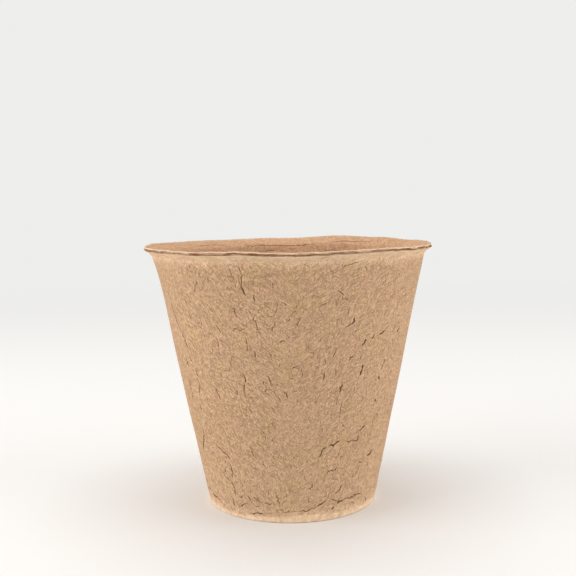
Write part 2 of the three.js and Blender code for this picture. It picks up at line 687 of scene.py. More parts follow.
# Creases seen across the far inside in the photograph
MARKED_WRINKLES: dict[Strength, tuple[tuple[Pixel, ...], ...]] = {
    Strength.FAINT: (
        ((196, 245.5), (214, 244.4), (231, 245.2)),
        ((330, 243.4), (348, 242.4), (372, 241.6)),
    ),
    Strength.PLAIN: (((244, 245.6), (262, 245), (280, 245.4), (300, 245), (315, 244.6)),),
}


@dataclass(frozen=True)
class Crease:
    """A crease on the pot.

    Attributes:
        points: Points on the bare surface, from one end to the other.
        half_width: Half of its width at the middle, in metres.
        depth: Depth at the middle, in metres.
        dark: How dark its painted shade is at the middle, from 0 to 1.
    """

    points: tuple[Vector, ...]
    half_width: float
    depth: float
    dark: float


@dataclass(frozen=True)
class SeededKind:
    """A kind of seeded crease on the wall.

    Attributes:
        count: How many there are.
        length: Longest that one may be, in metres.
        half_width: Half of its width at the middle, in metres.
        depth: Depth at the middle, in metres.
        away: True if they keep away from the front.
    """

    count: int
    length: float
    half_width: float
    depth: float
    away: bool


# Painted shade in a crease: how dark the shallowest crease is painted, and the depth that would add 1 to it,
# so that deeper creases are painted darker
LEAST_CREASE_SHADE = 0.25
FULL_SHADE_DEPTH = 0.5 * MM


def crease_shade(depth: float) -> float:
    """How dark the painted shade in a crease of a depth is, from 0 to 1."""
    return min(1.0, LEAST_CREASE_SHADE + depth / FULL_SHADE_DEPTH)


@dataclass
class CreaseMaker:
    """Draws the creases: those of the photograph, and seeded ones where it doesn't reach.

    Attributes:
        outline: The bare pot.
        camera: The photograph's viewpoint.
        rng: Source of the seeded creases.
        kinds: Seeded creases as long as the marked ones, away from the front, and short ticks all round.
        heel_count: Seeded creases along the top of the heel, away from the front.
        wrinkle_count: Seeded wrinkles that run round the inside, just below the flare.
        front_reach: Angle to each side of the front that the marked creases cover.
    """

    outline: PotOutline
    camera: PhotoCamera
    rng: random.Random
    kinds: tuple[SeededKind, ...] = (
        SeededKind(84, 6.0 * MM, 0.11 * MM, 0.3 * MM, True),
        SeededKind(400, 1.7 * MM, 0.085 * MM, 0.2 * MM, False),
    )
    heel_count: int = 16
    wrinkle_count: int = 26
    front_reach: float = math.radians(72)

    # Marked creases that are seen aslant: limits, and the powers of the slant by which they widen and their
    # painted shade darkens
    LEAST_SLANT = 0.4
    LEAST_DEPTH_SHARE = 0.7
    WIDEST = 0.2 * MM
    WIDE_POWER = 0.8
    SHADE_POWER = 0.2

    # Seeded creases: margins on the wall, the heights between which they turn upright, their spread from
    # upright in degrees and what it gains low down, and how they walk
    FOOT_MARGIN = 1.0 * MM
    TOP_MARGIN = 3.0 * MM
    TURNING = (8.0 * MM, 30.0 * MM)
    UPRIGHT_SPREAD = 20.0
    LOW_SPREAD = 35.0
    STRIDE = 0.8 * MM
    LENGTHS = (0.35, 1.0)
    WANDER = 0.35
    WEIGHTS = (0.6, 1.15)

    # Creases round the pot: their stride and half-width, then each kind's distance below its line, number of
    # strides, drift at each stride and depth
    ROUND_STRIDE = 0.9 * MM
    ROUND_HALF_WIDTH = 0.12 * MM
    HEEL_BELOW = (0.1 * MM, 0.9 * MM)
    HEEL_STRIDES = (3, 9)
    HEEL_DRIFT = 0.22 * MM
    HEEL_DEPTH = 0.28 * MM
    WRINKLE_BELOW = (-0.4 * MM, 5.0 * MM)
    WRINKLE_STRIDES = (3, 12)
    WRINKLE_DRIFT = 0.15 * MM
    WRINKLE_DEPTHS = (0.1 * MM, 0.2 * MM)

    # Line that the trimming leaves on the lip's edge, a shallow groove with painted shade in it
    LIP_LINE_BELOW = 0.68 * MM
    LIP_LINE_RIPPLE = ((0.1 * MM, 6.0), (0.06 * MM, 31.0))
    LIP_LINE_HALF_WIDTH = 0.17 * MM
    LIP_LINE_DEPTH = 0.12 * MM

    # Strides of a ragged path, and how far they stray to each side
    RAGGED_STRIDE = 0.45 * MM
    MARKED_STRAY = 0.13 * MM
    SEEDED_STRAY = 0.14 * MM

    def all(self) -> list[Crease]:
        """Draws every crease of the pot.

        Returns:
            The marked creases, then the seeded ones, then the lip's line.
        """
        creases = [self._marked(s, path, False) for s, paths in MARKED_CREASES.items() for path in paths]
        creases += [self._marked(s, path, True) for s, paths in MARKED_WRINKLES.items() for path in paths]
        creases += [self._seeded(kind) for kind in self.kinds for _ in range(kind.count)]
        creases += [self._along_heel() for _ in range(self.heel_count)]
        creases += [self._inside_wrinkle() for _ in range(self.wrinkle_count)]
        return creases + [self._lip_line()]

    def _surface(self, inside: bool) -> Callable[[np.ndarray], np.ndarray]:
        """Radius of the inside, or of the outside, as a function of heights."""
        return self.outline.inside_radius if inside else self.outline.outside_radius

    def _radius(self, height: float, inside: bool) -> float:
        """Radius of the inside, or of the outside, at one height."""
        return float(self._surface(inside)(np.array([height]))[0])

    def _crease(self, points: Sequence[Vector], half_width: float, depth: float) -> Crease:
        """Crease along a ragged path, with painted shade as dark as its depth makes it."""
        return Crease(self._ragged(points, self.SEEDED_STRAY), half_width, depth, crease_shade(depth))

    def _marked(self, strength: Strength, path: Sequence[Pixel], inside: bool) -> Crease:
        """Lays a crease of the photograph on the pot, wider and with darker painted shade where it is seen
        aslant.

        Args:
            strength: How strong it is, seen straight on.
            path: Pixels that it runs through.
            inside: True on the far inside of the pot.

        Returns:
            The crease.
        """
        met = [self.camera.meet(pixel, self._surface(inside), inside) for pixel in path]
        middle = met[len(met) // 2]
        outwards = Vector((middle.x, middle.y, 0.0)).normalized()
        to_camera = (Vector(self.camera.place) - middle).normalized()
        slant = max(self.LEAST_SLANT, abs(outwards.dot(to_camera)))
        half_width, depth = strength.value
        return Crease(
            self._ragged(met, self.MARKED_STRAY),
            min(self.WIDEST, half_width / slant**self.WIDE_POWER),
            depth * max(self.LEAST_DEPTH_SHARE, slant),
            crease_shade(depth / slant**self.SHADE_POWER),
        )

    def _seeded(self, kind: SeededKind) -> Crease:
        """Walks a seeded crease over the outside of the wall.

        Args:
            kind: What kind of crease it is.

        Returns:
            The crease.
        """
        rng, outline = self.rng, self.outline
        around = self._away(self.front_reach if kind.away else 0.0)
        height = rng.uniform(outline.heel_top + self.FOOT_MARGIN, outline.flare_start - self.TOP_MARGIN)
        low = 1.0 - smooth_share(*self.TURNING, height)
        heading = rng.gauss(0.0, math.radians(self.UPRIGHT_SPREAD + self.LOW_SPREAD * low))
        points = []
        for _ in range(max(2, round(rng.uniform(*self.LENGTHS) * kind.length / self.STRIDE))):
            radius = self._radius(height, False)
            points.append(on_wall(around, radius, height))
            heading += rng.gauss(0.0, self.WANDER)
            around += self.STRIDE * math.sin(heading) / radius
            height = max(height - self.STRIDE * math.cos(heading), outline.heel_top)
        weight = rng.uniform(*self.WEIGHTS)
        return self._crease(points, kind.half_width * weight, kind.depth * weight)

    def _away(self, front: float) -> float:
        """Angle on either side, no nearer to the front than a reach."""
        return self.rng.choice((-1.0, 1.0)) * self.rng.uniform(front, math.pi)

    def _walk_round(
        self, around: float, height: float, strides: tuple[int, int], drift: float, inside: bool
    ) -> list[Vector]:
        """Walks round the pot, drifting up and down.

        Args:
            around: Angle at which the walk starts.
            height: Height at which it starts.
            strides: Least and greatest number of strides.
            drift: How far each stride drifts, in metres.
            inside: True on the inside of the pot.

        Returns:
            The points of the walk.
        """
        points = []
        for i in range(self.rng.randint(*strides)):
            radius = self._radius(height, inside)
            points.append(on_wall(around + i * self.ROUND_STRIDE / radius, radius, height))
            height += self.rng.gauss(0.0, drift)
        return points

    def _along_heel(self) -> Crease:
        """Walks a seeded crease along the top of the heel, away from the front.

        Returns:
            The crease.
        """
        around = self._away(self.front_reach)
        height = self.outline.heel_top - self.rng.uniform(*self.HEEL_BELOW)
        points = self._walk_round(around, height, self.HEEL_STRIDES, self.HEEL_DRIFT, False)
        return self._crease(points, self.ROUND_HALF_WIDTH, self.HEEL_DEPTH)

    def _inside_wrinkle(self) -> Crease:
        """Walks a seeded wrinkle round the inside, just below the flare.

        Returns:
            The wrinkle.
        """
        around = self.rng.uniform(-math.pi, math.pi)
        height = self.outline.flare_start - self.rng.uniform(*self.WRINKLE_BELOW)
        points = self._walk_round(around, height, self.WRINKLE_STRIDES, self.WRINKLE_DRIFT, True)
        return self._crease(points, self.ROUND_HALF_WIDTH, self.rng.uniform(*self.WRINKLE_DEPTHS))

    def _lip_line(self) -> Crease:
        """Lays the shallow line that the trimming leaves right round the lip's edge, with painted shade in
        it.

        Returns:
            The line, as a closed crease.
        """
        middle = self.outline.height - self.LIP_LINE_BELOW
        points = []
        for degree in range(361):
            around = math.radians(degree)
            height = middle + rippled(around, self.LIP_LINE_RIPPLE)
            points.append(on_wall(around, self.outline.lip_radius, height))
        depth = self.LIP_LINE_DEPTH
        return Crease(tuple(points), self.LIP_LINE_HALF_WIDTH, depth, crease_shade(depth))

    def _ragged(self, points: Sequence[Vector], stray: float) -> tuple[Vector, ...]:
        """Breaks a path into short strides that stray a little to each side.

        Args:
            points: Points of the path.
            stray: How far a stride strays, in metres.

        Returns:
            The points of the broken path.
        """
        ragged = [points[0]]
        for a, b in zip(points, points[1:]):
            count = max(1, round((b - a).length / self.RAGGED_STRIDE))
            across = (b - a).cross(Vector((a.x, a.y, 0.0))).normalized()
            for i in range(1, count + 1):
                off = self.rng.gauss(0.0, stray) if i < count else 0.0
                ragged.append(a.lerp(b, i / count) + across * off)
        return tuple(ragged)


@dataclass(frozen=True)
class CreaseSample:
    """One of the closely laid points of a crease.

    Attributes:
        place: Where it lies on the bare surface.
        along: The way that the crease runs there.
        half_width: Half of the crease's width there, in metres.
        depth: Depth there, in metres.
        dark: How dark its painted shade is there, from 0 to 1.
        crease: The crease that it belongs to.
    """

    place: Vector
    along: Vector
    half_width: float
    depth: float
    dark: float
    crease: Crease


@dataclass(frozen=True)
class Carving:
    """What a crease does at a point.

    Attributes:
        rise: How far the point rises, in metres.
        across: How far to one side of the crease it lies, in half-widths.
        dark: How dark the crease's painted shade is along here, from 0 to 1.
    """

    rise: float
    across: float
    dark: float


class CreaseField:
    """Finds how near a point is to a crease, for cutting the mesh finer and for carving it."""

    # Spacing of the samples, the share of the length over which an end narrows, and the width left at the end
    SAMPLE = 0.07 * MM
    END_TAPER = 0.16
    END_WIDTH = 0.5

    # Swellings along a crease: their size, their noise's middle and swing, their limits, and how they darken
    # its painted shade
    PULSE = 0.75 * MM
    PULSE_MIDDLE = 0.97
    PULSE_SWING = 0.8
    PULSE_LIMITS = (0.7, 1.2)
    LEAST_PULSE_SHADE = 0.3
    PULSE_SHADE = 0.8

    # How far a crease reaches in half-widths, its least half-width as a groove, and the flake beside it, by
    # its height as a share of the depth and its place in half-widths
    REACH = 5.0
    LEAST_GROOVE = 0.17 * MM
    FLAKE = 0.3
    FLAKE_PLACE = 2.0

    def __init__(self, creases: Iterable[Crease]) -> None:
        """Samples the creases closely.

        Args:
            creases: The creases of the whole pot.
        """
        self.samples: list[CreaseSample] = []
        for crease in creases:
            self._sample(crease)
        self.tree = KDTree(len(self.samples))
        for i, sample in enumerate(self.samples):
            self.tree.insert(sample.place, i)
        self.tree.balance()

    def _pulse(self, place: Vector) -> float:
        """How strong a crease is at a place along it, about 1."""
        low, high = self.PULSE_LIMITS
        return min(high, max(low, self.PULSE_MIDDLE + self.PULSE_SWING * noise.noise(place / self.PULSE)))

    def _sample(self, crease: Crease) -> None:
        """Lays samples along one crease, which swells and thins, and narrows towards its ends.

        Args:
            crease: The crease.
        """
        lengths = [(b - a).length for a, b in zip(crease.points, crease.points[1:])]
        whole = sum(lengths)
        closed = (crease.points[0] - crease.points[-1]).length < self.SAMPLE
        done = 0.0
        for a, b, length in zip(crease.points, crease.points[1:], lengths):
            along = (b - a).normalized()
            for i in range(max(1, round(length / self.SAMPLE))):
                share = (done + i * self.SAMPLE) / whole
                inwards = smooth_share(0.0, self.END_TAPER, min(share, 1.0 - share))
                narrow = 1.0 if closed else self.END_WIDTH + (1.0 - self.END_WIDTH) * inwards
                place = a + along * (i * self.SAMPLE)
                pulse = narrow * self._pulse(place)
                half_width = crease.half_width * math.sqrt(pulse)
                dark = crease.dark * min(1.0, self.LEAST_PULSE_SHADE + self.PULSE_SHADE * pulse)
                self.samples.append(
                    CreaseSample(place, along, half_width, crease.depth * pulse, dark, crease)
                )
            done += length

    def is_near(self, point: Vector, reach: float, least_depth: float) -> bool:
        """Tells whether the crease nearest to a point is deep enough and within reach."""
        _, index, gap = self.tree.find(point)
        return gap < reach and self.samples[index].crease.depth >= least_depth

    def carve(self, point: Vector, facing: Vector) -> Carving:
        """Finds what the nearest crease does at a point.

        Args:
            point: Point on the bare surface.
            facing: The way that the surface looks there.

        Returns:
            What the crease does there.
        """
        _, index, gap = self.tree.find(point)
        sample = self.samples[index]
        off = point - sample.place
        across = off.dot(facing.cross(sample.along)) / sample.half_width
        across = min(self.REACH, max(-self.REACH, across))
        if gap > self.REACH * sample.half_width:
            return Carving(0.0, across, 0.0)
        past = off.dot(sample.along) / (self.SAMPLE + 0.5 * sample.half_width)
        fade = math.exp(-past * past)
        groove = max(sample.half_width, self.LEAST_GROOVE)
        share = sample.half_width / groove
        cut = math.exp(-((gap / groove) ** 2))
        flake = self.FLAKE * math.exp(-((across * share - self.FLAKE_PLACE) ** 2))
        return Carving(sample.depth * share * (flake * fade - cut), across, sample.dark * fade)


# Relief that felts the shell


@dataclass(frozen=True)
class Swell:
    """A soft rise of the whole wall, or a dip where rise is negative.

    Attributes:
        around: Angle from the front, towards the right, in degrees.
        height: Height of its middle, in metres.
        reach: How far it spreads, in metres.
        rise: How far it stands out, in metres.
    """

    around: float
    height: float
    reach: float
    rise: float


@dataclass(frozen=True)
class Wave:
    """A stretch of a line round the pot that stands off, the other way where rise is negative.

    Attributes:
        around: Angle of its middle from the front, towards the right, in degrees.
        spread: How far it spreads to each side, in degrees.
        rise: How far it moves the line, in metres.
    """

    around: float
    spread: float
    rise: float

    def at(self, around: float) -> float:
        """How far the line is moved at an angle in radians."""
        gap = turn_between(around, math.radians(self.around)) / math.radians(self.spread)
        return self.rise * math.exp(-gap * gap)


# Swells and dips of the wall
SWELLS = (
    Swell(-82, 69.8 * MM, 1.5 * MM, 0.3 * MM),
    Swell(-82, 68.5 * MM, 3.0 * MM, 0.3 * MM),
    Swell(-82, 57.0 * MM, 7.0 * MM, -0.15 * MM),
    Swell(-82, 41.0 * MM, 6.0 * MM, 0.12 * MM),
    Swell(-82, 26.0 * MM, 7.0 * MM, 0.12 * MM),
    Swell(82, 66.0 * MM, 5.0 * MM, 0.14 * MM),
    Swell(82, 36.0 * MM, 8.0 * MM, 0.1 * MM),
    Swell(20, 48.0 * MM, 10.0 * MM, 0.12 * MM),
    Swell(-35, 30.0 * MM, 9.0 * MM, 0.12 * MM),
    Swell(140, 40.0 * MM, 14.0 * MM, 0.25 * MM),
    Swell(190, 26.0 * MM, 11.0 * MM, -0.2 * MM),
    Swell(225, 50.0 * MM, 12.0 * MM, 0.2 * MM),
)

# Waves of the lip up and down
LIP_LIFTS = (
    Wave(-58, 10, 0.12 * MM),
    Wave(-38, 6, -0.1 * MM),
    Wave(-18, 6, 0.22 * MM),
    Wave(1, 11, -0.18 * MM),
    Wave(36, 14, 0.2 * MM),
    Wave(84, 10, -0.2 * MM),
    Wave(116, 7, -0.22 * MM),
    Wave(132, 9, 0.27 * MM),
    Wave(150, 6, 0.13 * MM),
    Wave(157, 11, 0.52 * MM),
    Wave(178, 7, -0.15 * MM),
    Wave(212, 16, -0.2 * MM),
    Wave(262, 10, 0.3 * MM),
)

# Waves of the lip in and out
LIP_PUSHES = (
    Wave(81, 14, -0.33 * MM),
    Wave(170, 20, 0.2 * MM),
)

# Waves of the upper edge of the pale heel, which is pressed pulp with painted bounce light
HEEL_RISES = (
    Wave(-38, 16, -0.45 * MM),
    Wave(10, 18, 0.8 * MM),
    Wave(62, 20, 0.3 * MM),
    Wave(150, 30, 0.6 * MM),
    Wave(235, 35, 0.8 * MM),
)


@dataclass(frozen=True)
class FeltLayer:
    """Lumps of one size in the felted pulp, with their size and height in metres."""

    size: float
    height: float
    shift: Triple


@dataclass
class Relief:
    """Moves the points of every zone from the bare outline to the felted surface.

    Attributes:
        outline: The bare pot.
        creases: The creases of the whole pot.
        layers: Lumps, from the largest to the smallest.
        heel_band: Least height of the pale band at the heel, pressed pulp with painted bounce light.
    """

    outline: PotOutline
    creases: CreaseField
    layers: tuple[FeltLayer, ...] = (
        FeltLayer(8.0 * MM, 0.06 * MM, (3.1, 7.7, 1.9)),
        FeltLayer(3.2 * MM, 0.022 * MM, (11.3, 2.9, 5.3)),
        FeltLayer(1.5 * MM, 0.013 * MM, (6.1, 13.7, 8.3)),
    )
    heel_band: float = 1.8 * MM

    # Pale heel, pressed pulp with painted bounce light, whose widest layer is a painted lift against the
    # shade low on the wall: how its edge strays, and how pale each layer of it is, with its fade from that
    # edge upwards
    HEEL_RIPPLE = ((0.25 * MM, 9.0), (0.35 * MM, 33.0))
    HEEL_FADES = ((0.57, (-0.8 * MM, 0.3 * MM)), (0.29, (0.0, 3.2 * MM)), (0.14, (0.0, 24.0 * MM)))

    # Painted bounce light under the lip, where the pulp is also pressed smooth: how its edge strays, how pale
    # it is, and its fade from the flare's start
    FLARE_RIPPLE = ((0.3 * MM, 9.0),)
    FLARE_LIGHT = 0.85
    FLARE_FADE = (-2.4 * MM, 1.5 * MM)

    # Painted highlights: on the lip's top, on the edge that the pot stands on, and along the foot of the
    # lip's edge
    TOP_HIGHLIGHT = 0.35
    TOP_FADE = (-0.3 * MM, -0.1 * MM)
    STANDING_FADE = (0.3 * MM, 0.75 * MM)
    FOOT_HIGHLIGHT = 0.5
    FOOT_IN = (-0.45 * MM, -0.25 * MM)
    FOOT_OUT = (-0.06 * MM, 0.04 * MM)

    # Trimmed edge: its fades from the lip's radius, from the foot of the lip's edge and from the lip's top
    TRIM_RADIUS = (-0.3 * MM, -0.15 * MM)
    TRIM_IN = (-0.02 * MM, 0.12 * MM)
    TRIM_OUT = (-0.34 * MM, -0.2 * MM)

    # Felt: how far its lumps are drawn out, how high it is inside, and how much of it pressing takes away
    FELT_STRETCH = 1.5
    INSIDE_FELT = 1.4
    PRESSED_LOSS = 0.65

    # Where the swells fade in above the table, and where the lip's waves start and are whole
    SWELL_FADE = (0.5 * MM, 4.0 * MM)
    LIFT_UNDER_FLARE = 7.0 * MM
    LIFT_UNDER_TOP = 1.0 * MM
    LIFT_RIPPLE = ((0.09 * MM, 9.0), (0.06 * MM, 24.0))
    PUSH_UNDER_TOP = 0.5 * MM

    # Attributes that the finishes read, which carry the painted shade of the creases and of the felt's
    # hollows, the pale heel and under-lip with their painted bounce light, and the painted highlights
    MARKS = ("across", "crease", "lump", "inside", "pressed_and_lit", "painted_highlight", "trimmed")

    def pressed_and_lit(self, point: Vector, side: Side) -> float:
        """Finds how far the pulp was pressed smooth and painted pale, as pressed pulp with painted bounce
        light at the heel and as painted bounce light just under the lip.

        Args:
            point: Point on the bare surface.
            side: Face of the shell that it lies on.

        Returns:
            The share, from 0 where it is felted to 1 where it is pressed and painted pale.
        """
        if side is Side.INSIDE:
            return 0.0
        around = around_of(point)
        rise = sum(wave.at(around) for wave in HEEL_RISES)
        heel_edge = self.heel_band + rippled(around, self.HEEL_RIPPLE) + rise
        heel = sum(pale * (1.0 - faded_in(heel_edge, fade, point.z)) for pale, fade in self.HEEL_FADES)
        flare = self.outline.flare_start + rippled(around, self.FLARE_RIPPLE)
        return max(heel, self.FLARE_LIGHT * faded_in(flare, self.FLARE_FADE, point.z))

    def painted_highlight(self, point: Vector, side: Side) -> float:
        """Finds the painted highlight at a point, on the edge that the pot stands on or at the lip.

        Args:
            point: Point on the bare surface.
            side: Face of the shell that it lies on.

        Returns:
            The share, from 0 to 1.
        """
        outline = self.outline
        top = self.TOP_HIGHLIGHT * faded_in(outline.height, self.TOP_FADE, point.z)
        if side is Side.INSIDE:
            return top
        standing = 1.0 - faded_in(0.0, self.STANDING_FADE, point.z)
        foot = outline.height - outline.lip_edge
        band = faded_in(foot, self.FOOT_IN, point.z) * (1.0 - faded_in(foot, self.FOOT_OUT, point.z))
        return max(standing, top, self.FOOT_HIGHLIGHT * band)

    def trimmed(self, point: Vector) -> float:
        """Finds how far a point lies on the lip's trimmed edge.

        Args:
            point: Point on the bare surface.

        Returns:
            The share, from 0 to 1.
        """
        outline = self.outline
        out = faded_in(outline.lip_radius, self.TRIM_RADIUS, point.xy.length)
        above = faded_in(outline.height - outline.lip_edge, self.TRIM_IN, point.z)
        return out * above * (1.0 - faded_in(outline.height, self.TRIM_OUT, point.z))

    def felt(self, point: Vector) -> float:
        """Finds the height of the felted lumps, which are drawn out along the felt's strokes.

        Args:
            point: Point on the bare surface.

        Returns:
            The height, in metres.
        """
        total = 0.0
        on_right = smooth_share(-FAN_BLEND, FAN_BLEND, point.x)
        for lean, share in ((FAN_LEAN, 1.0 - on_right), (-FAN_LEAN, on_right)):
            if share > 0.0:
                turned = Matrix.Rotation(lean * point.z / MID_RADIUS, 3, "Z") @ point
                turned.z /= self.FELT_STRETCH
                for layer in self.layers:
                    total += share * layer.height * noise.noise(turned / layer.size + Vector(layer.shift))
        return total

    def swell(self, point: Vector) -> float:
        """Finds how far the whole wall stands out.

        Args:
            point: Point on the bare surface.

        Returns:
            The distance, in metres.
        """
        total = 0.0
        radius = math.hypot(point.x, point.y)
        for swell in SWELLS:
            turn = turn_between(around_of(point), math.radians(swell.around)) * radius
            gap = math.hypot(turn, point.z - swell.height) / swell.reach
            total += swell.rise * math.exp(-gap * gap)
        return total * smooth_share(*self.SWELL_FADE, point.z)

    def lift(self, point: Vector) -> float:
        """Finds how far the lip is lifted.

        Args:
            point: Point on the bare surface.

        Returns:
            The distance, in metres.
        """
        start = self.outline.flare_start - self.LIFT_UNDER_FLARE
        near_lip = smooth_share(start, self.outline.height - self.LIFT_UNDER_TOP, point.z)
        if near_lip == 0.0:
            return 0.0
        around = around_of(point)
        return near_lip * (sum(wave.at(around) for wave in LIP_LIFTS) + rippled(around, self.LIFT_RIPPLE))

    def push(self, point: Vector) -> float:
        """Finds how far the lip is pushed out.

        Args:
            point: Point on the bare surface.

        Returns:
            The distance, in metres.
        """
        end = self.outline.height - self.PUSH_UNDER_TOP
        near_lip = smooth_share(self.outline.flare_start, end, point.z)
        if near_lip == 0.0:
            return 0.0
        return near_lip * sum(wave.at(around_of(point)) for wave in LIP_PUSHES)

    def shape(self, mesh: bpy.types.Mesh, loop: Sequence[Station]) -> None:
        """Felts one zone's mesh, and marks what its finish needs to know as attributes.

        Args:
            mesh: Mesh of the zone on the bare outline.
            loop: Stations that the mesh was spun from.
        """
        tree = KDTree(len(loop))
        for i, station in enumerate(loop):
            tree.insert((station.radius, station.height, 0.0), i)
        tree.balance()
        top = sum(layer.height for layer in self.layers)
        rows = []
        for vertex in mesh.vertices:
            bare = vertex.co.copy()
            radius = math.hypot(bare.x, bare.y)
            station = loop[tree.find((radius, bare.z, 0.0))[1]]
            inside = station.side is Side.INSIDE
            outwards = Vector((bare.x / radius, bare.y / radius, 0.0))
            facing = outwards * station.out + Vector((0.0, 0.0, station.up))
            lump = self.felt(bare)
            pressed_and_lit = self.pressed_and_lit(bare, station.side)
            trimmed = self.trimmed(bare)
            felted = self.INSIDE_FELT if inside else 1.0 - self.PRESSED_LOSS * max(pressed_and_lit, trimmed)
            carving = self.creases.carve(bare, facing)
            moved = bare + facing * (lump * felted + carving.rise)
            moved += outwards * (self.swell(bare) + self.push(bare))
            moved.z = max(0.0, moved.z + self.lift(bare))
            vertex.co = moved
            # The felt's height, from 0 to 1, which paints shade into its hollows
            shade = 0.5 + 0.5 * lump / top
            painted_highlight = self.painted_highlight(bare, station.side)
            rows.append((carving.across, carving.dark, shade, float(inside), pressed_and_lit, painted_highlight, trimmed))
        for name, values in zip(self.MARKS, zip(*rows)):
            mesh.attributes.new(name, "FLOAT", "POINT").data.foreach_set("value", values)
        mesh.update()


# Finishes


def paint(red: int, green: int, blue: int) -> tuple[float, float, float, float]:
    """Turns a colour as it looks on a screen into Blender's linear colour.

    Args:
        red: Red, from 0 to 255.
        green: Green, from 0 to 255.
        blue: Blue, from 0 to 255.

    Returns:
        The linear colour, opaque.
    """
    linear = []
    for value in (red, green, blue):
        share = value / 255.0
        linear.append(share / 12.92 if share <= 0.04045 else ((share + 0.055) / 1.055) ** 2.4)
    return (*linear, 1.0)


class NodePen:
    """Adds and joins nodes in one tree, so that a finish reads as a list of steps."""

    def __init__(self, tree: bpy.types.NodeTree) -> None:
        """Keeps the tree that the pen writes in."""
        self.tree = tree

    def add(self, kind: str, **settings: object) -> bpy.types.Node:
        """Adds a node and sets its properties.

        Args:
            kind: Blender's name for the kind of node.
            **settings: Its properties.

        Returns:
            The node.
        """
        node = self.tree.nodes.new(kind)
        for name, value in settings.items():
            setattr(node, name, value)
        return node

    def feed(self, socket: Socket, value: object) -> None:
        """Joins a socket to another one, or gives it a plain value.

        Args:
            socket: Input of a node.
            value: Value, or output of a node.
        """
        if isinstance(value, Socket):
            self.tree.links.new(value, socket)
        else:
            socket.default_value = value

    def feed_all(self, node: bpy.types.Node, inputs: dict[str | int, object]) -> bpy.types.Node:
        """Feeds a node's inputs, by their names or numbers.

        Args:
            node: The node.
            inputs: What goes into each input.

        Returns:
            The same node.
        """
        for key, value in inputs.items():
            self.feed(node.inputs[key], value)
        return node

    def math(self, operation: str, a: object, b: object = 0.0) -> Socket:
        """Result of a Math node with one or two values or sockets."""
        return self.feed_all(self.add("ShaderNodeMath", operation=operation), {0: a, 1: b}).outputs[0]

    def times(self, *factors: object) -> Socket:
        """Multiplies values or sockets.

        Args:
            *factors: Two or more of them.

        Returns:
            Their product.
        """
        product = factors[-1]
        for factor in factors[-2::-1]:
            product = self.math("MULTIPLY", factor, product)
        return product

    def ease(
        self, value: object, low: float, high: float, to_low: float = 0.0, to_high: float = 1.0
    ) -> Socket:
        """Eases a value from one range to another.

        Args:
            value: Value or socket.
            low: Where the range starts.
            high: Where the range ends.
            to_low: Result at low.
            to_high: Result at high.

        Returns:
            The result.
        """
        node = self.add("ShaderNodeMapRange", interpolation_type="SMOOTHSTEP")
        return self.feed_all(node, dict(enumerate((value, low, high, to_low, to_high)))).outputs[0]

    def ridge(self, value: object, middle: float, reach: float, top: float = 1.0) -> Socket:
        """Peak of a value at a middle, which falls to nothing at a reach to each side."""
        off = self.math("ABSOLUTE", self.math("SUBTRACT", value, middle))
        return self.ease(off, 0.0, reach, top, 0.0)

    def mix(self, share: object, a: object, b: object) -> Socket:
        """Mixes two colours.

        Args:
            share: How much of the second colour there is.
            a: First colour.
            b: Second colour.

        Returns:
            The mixed colour.
        """
        node = self.add("ShaderNodeMix", data_type="RGBA")
        self.feed(node.inputs["Factor"], share)
        for socket, colour in zip([s for s in node.inputs if s.type == "RGBA"], (a, b)):
            self.feed(socket, colour)
        return next(s for s in node.outputs if s.type == "RGBA")

    def mix_shaders(self, share: object, a: Socket, b: Socket) -> Socket:
        """Mixes two shaders, by the share of the second."""
        return self.feed_all(self.add("ShaderNodeMixShader"), {0: share, 1: a, 2: b}).outputs[0]

    def noise(self, place: object, size: float, detail: float = 0.0, bend: float = 0.0) -> Socket:
        """Adds a noise of lumps of a size in metres.

        Args:
            place: Where to read the noise.
            size: Size of a lump.
            detail: Finer lumps added to it.
            bend: How far it is bent by itself.

        Returns:
            The noise, from 0 to 1.
        """
        inputs = {"Vector": place, "Scale": 1.0 / size, "Detail": detail, "Distortion": bend}
        return self.feed_all(self.add("ShaderNodeTexNoise"), inputs).outputs["Fac"]

    def cells(self, place: object, size: float, feature: str) -> Socket:
        """Distance in a pattern of cells of a size in metres, by what it is measured to."""
        node = self.add("ShaderNodeTexVoronoi", feature=feature)
        return self.feed_all(node, {"Vector": place, "Scale": 1.0 / size}).outputs["Distance"]

    def stretched(
        self, place: object, stretch: Triple, turn: float = 0.0, shift: Triple = (0.0, 0.0, 0.0)
    ) -> Socket:
        """Stretches, turns and shifts a place, so that a noise read there has a grain.

        Args:
            place: Where to read.
            stretch: How far the noise is drawn out along each axis.
            turn: Turn about the pot's axis, in radians.
            shift: How far the noise is shifted.

        Returns:
            The changed place.
        """
        node = self.add("ShaderNodeMapping", vector_type="TEXTURE")
        inputs = {"Vector": place, "Location": shift, "Rotation": (0.0, 0.0, turn), "Scale": stretch}
        return self.feed_all(node, inputs).outputs["Vector"]

    def part(self, place: Socket, axis: str) -> Socket:
        """One axis of a place."""
        return self.feed_all(self.add("ShaderNodeSeparateXYZ"), {0: place}).outputs[axis]

    def stroked(self, place: Socket, lean: float, stretch: float) -> Socket:
        """Turns a place about the pot's axis with its height, so that strokes read there lean.

        Args:
            place: Where to read.
            lean: How far strokes go round for each step down, to the right where positive.
            stretch: How far strokes are drawn out.

        Returns:
            The changed place.
        """
        angle = self.times(self.part(place, "Z"), lean / MID_RADIUS)
        node = self.add("ShaderNodeVectorRotate", rotation_type="Z_AXIS")
        leaning = self.feed_all(node, {"Vector": place, "Angle": angle}).outputs["Vector"]
        return self.stretched(leaning, (1.0, 1.0, stretch), lean)

    def attribute(self, name: str) -> Socket:
        """Reads one of the mesh's own attributes."""
        return self.add("ShaderNodeAttribute", attribute_name=name).outputs["Fac"]

